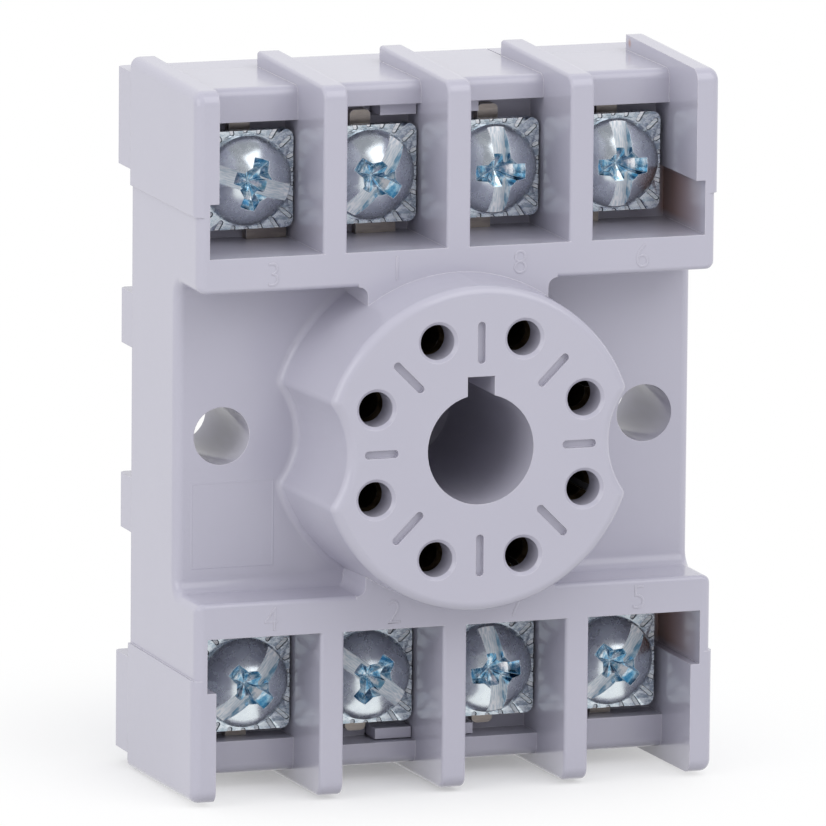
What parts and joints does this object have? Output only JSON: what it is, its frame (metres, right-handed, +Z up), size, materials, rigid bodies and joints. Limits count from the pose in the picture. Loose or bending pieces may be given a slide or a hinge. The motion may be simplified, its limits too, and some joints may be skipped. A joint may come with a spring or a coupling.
{
  "type": "relay socket",
  "caption": "Eight-pin round relay socket with screw terminals in bays above and below a keyed boss, for a panel or a mounting rail.",
  "frame": {"origin": "centre of the plane behind the socket that its feet share, level with the axis of the round boss", "axes": "+Z up with the keyway at the top of the boss, the front looks along -Y, +X to the right seen from the front"},
  "size_m": [0.0406, 0.024, 0.0534],
  "materials": {
    "body_plastic": "smooth moulded thermoplastic, pale lavender grey",
    "cover_plastic": "smooth moulded thermoplastic, pale lavender grey",
    "tinned_brass": "tin plated, slightly warm",
    "contact_brass": "rolled spring brass",
    "zinc_screw": "clear zinc plate, satin",
    "zinc_plate": "clear zinc plate, bright"
  },
  "bodies": {
    "socket_body": {"housing": "body_plastic", "rear_cover": "cover_plastic", "terminal_strip_1": "tinned_brass", "terminal_strip_2": "tinned_brass", "terminal_strip_3": "tinned_brass", "terminal_strip_4": "tinned_brass", "terminal_strip_5": "tinned_brass", "terminal_strip_6": "tinned_brass", "terminal_strip_7": "tinned_brass", "terminal_strip_8": "tinned_brass", "pin_contact_1": "contact_brass", "pin_contact_2": "contact_brass", "pin_contact_3": "contact_brass", "pin_contact_4": "contact_brass", "pin_contact_5": "contact_brass", "pin_contact_6": "contact_brass", "pin_contact_7": "contact_brass", "pin_contact_8": "contact_brass"},
    "clamp_1": {"pressure_plate_1": "zinc_plate"},
    "screw_1": {"terminal_screw_1": "zinc_screw"},
    "clamp_2": {"pressure_plate_2": "zinc_plate"},
    "screw_2": {"terminal_screw_2": "zinc_screw"},
    "clamp_3": {"pressure_plate_3": "zinc_plate"},
    "screw_3": {"terminal_screw_3": "zinc_screw"},
    "clamp_4": {"pressure_plate_4": "zinc_plate"},
    "screw_4": {"terminal_screw_4": "zinc_screw"},
    "clamp_5": {"pressure_plate_5": "zinc_plate"},
    "screw_5": {"terminal_screw_5": "zinc_screw"},
    "clamp_6": {"pressure_plate_6": "zinc_plate"},
    "screw_6": {"terminal_screw_6": "zinc_screw"},
    "clamp_7": {"pressure_plate_7": "zinc_plate"},
    "screw_7": {"terminal_screw_7": "zinc_screw"},
    "clamp_8": {"pressure_plate_8": "zinc_plate"},
    "screw_8": {"terminal_screw_8": "zinc_screw"}
  },
  "joints": [
    {"name": "clamp_1_lift", "type": "slide", "parent": "socket_body", "child": "clamp_1", "axis": [0, -1, 0], "range_m": [-0.00049, 0.00159]},
    {"name": "screw_1_turn", "type": "hinge", "parent": "clamp_1", "child": "screw_1", "pos_m": [-0.00477, -0.0124, 0.01875], "axis": [0, -1, 0], "range_deg": [-221, 721]},
    {"name": "clamp_2_lift", "type": "slide", "parent": "socket_body", "child": "clamp_2", "axis": [0, -1, 0], "range_m": [-0.00049, 0.00159]},
    {"name": "screw_2_turn", "type": "hinge", "parent": "clamp_2", "child": "screw_2", "pos_m": [-0.01432, -0.0124, 0.01875], "axis": [0, -1, 0], "range_deg": [-221, 721]},
    {"name": "clamp_3_lift", "type": "slide", "parent": "socket_body", "child": "clamp_3", "axis": [0, -1, 0], "range_m": [-0.00049, 0.00159]},
    {"name": "screw_3_turn", "type": "hinge", "parent": "clamp_3", "child": "screw_3", "pos_m": [-0.01432, -0.0124, -0.01875], "axis": [0, -1, 0], "range_deg": [-221, 721]},
    {"name": "clamp_4_lift", "type": "slide", "parent": "socket_body", "child": "clamp_4", "axis": [0, -1, 0], "range_m": [-0.00049, 0.00159]},
    {"name": "screw_4_turn", "type": "hinge", "parent": "clamp_4", "child": "screw_4", "pos_m": [-0.00477, -0.0124, -0.01875], "axis": [0, -1, 0], "range_deg": [-221, 721]},
    {"name": "clamp_5_lift", "type": "slide", "parent": "socket_body", "child": "clamp_5", "axis": [0, -1, 0], "range_m": [-0.00049, 0.00159]},
    {"name": "screw_5_turn", "type": "hinge", "parent": "clamp_5", "child": "screw_5", "pos_m": [0.00477, -0.0124, -0.01875], "axis": [0, -1, 0], "range_deg": [-221, 721]},
    {"name": "clamp_6_lift", "type": "slide", "parent": "socket_body", "child": "clamp_6", "axis": [0, -1, 0], "range_m": [-0.00049, 0.00159]},
    {"name": "screw_6_turn", "type": "hinge", "parent": "clamp_6", "child": "screw_6", "pos_m": [0.01432, -0.0124, -0.01875], "axis": [0, -1, 0], "range_deg": [-221, 721]},
    {"name": "clamp_7_lift", "type": "slide", "parent": "socket_body", "child": "clamp_7", "axis": [0, -1, 0], "range_m": [-0.00049, 0.00159]},
    {"name": "screw_7_turn", "type": "hinge", "parent": "clamp_7", "child": "screw_7", "pos_m": [0.01432, -0.0124, 0.01875], "axis": [0, -1, 0], "range_deg": [-221, 721]},
    {"name": "clamp_8_lift", "type": "slide", "parent": "socket_body", "child": "clamp_8", "axis": [0, -1, 0], "range_m": [-0.00049, 0.00159]},
    {"name": "screw_8_turn", "type": "hinge", "parent": "clamp_8", "child": "screw_8", "pos_m": [0.00477, -0.0124, 0.01875], "axis": [0, -1, 0], "range_deg": [-221, 721]}
  ],
  "couplings": [
    {"joint": "screw_1_turn", "follows": "clamp_1_lift", "rad_per_m": 7913.3},
    {"joint": "screw_2_turn", "follows": "clamp_2_lift", "rad_per_m": 7913.3},
    {"joint": "screw_3_turn", "follows": "clamp_3_lift", "rad_per_m": 7913.3},
    {"joint": "screw_4_turn", "follows": "clamp_4_lift", "rad_per_m": 7913.3},
    {"joint": "screw_5_turn", "follows": "clamp_5_lift", "rad_per_m": 7913.3},
    {"joint": "screw_6_turn", "follows": "clamp_6_lift", "rad_per_m": 7913.3},
    {"joint": "screw_7_turn", "follows": "clamp_7_lift", "rad_per_m": 7913.3},
    {"joint": "screw_8_turn", "follows": "clamp_8_lift", "rad_per_m": 7913.3}
  ]
}
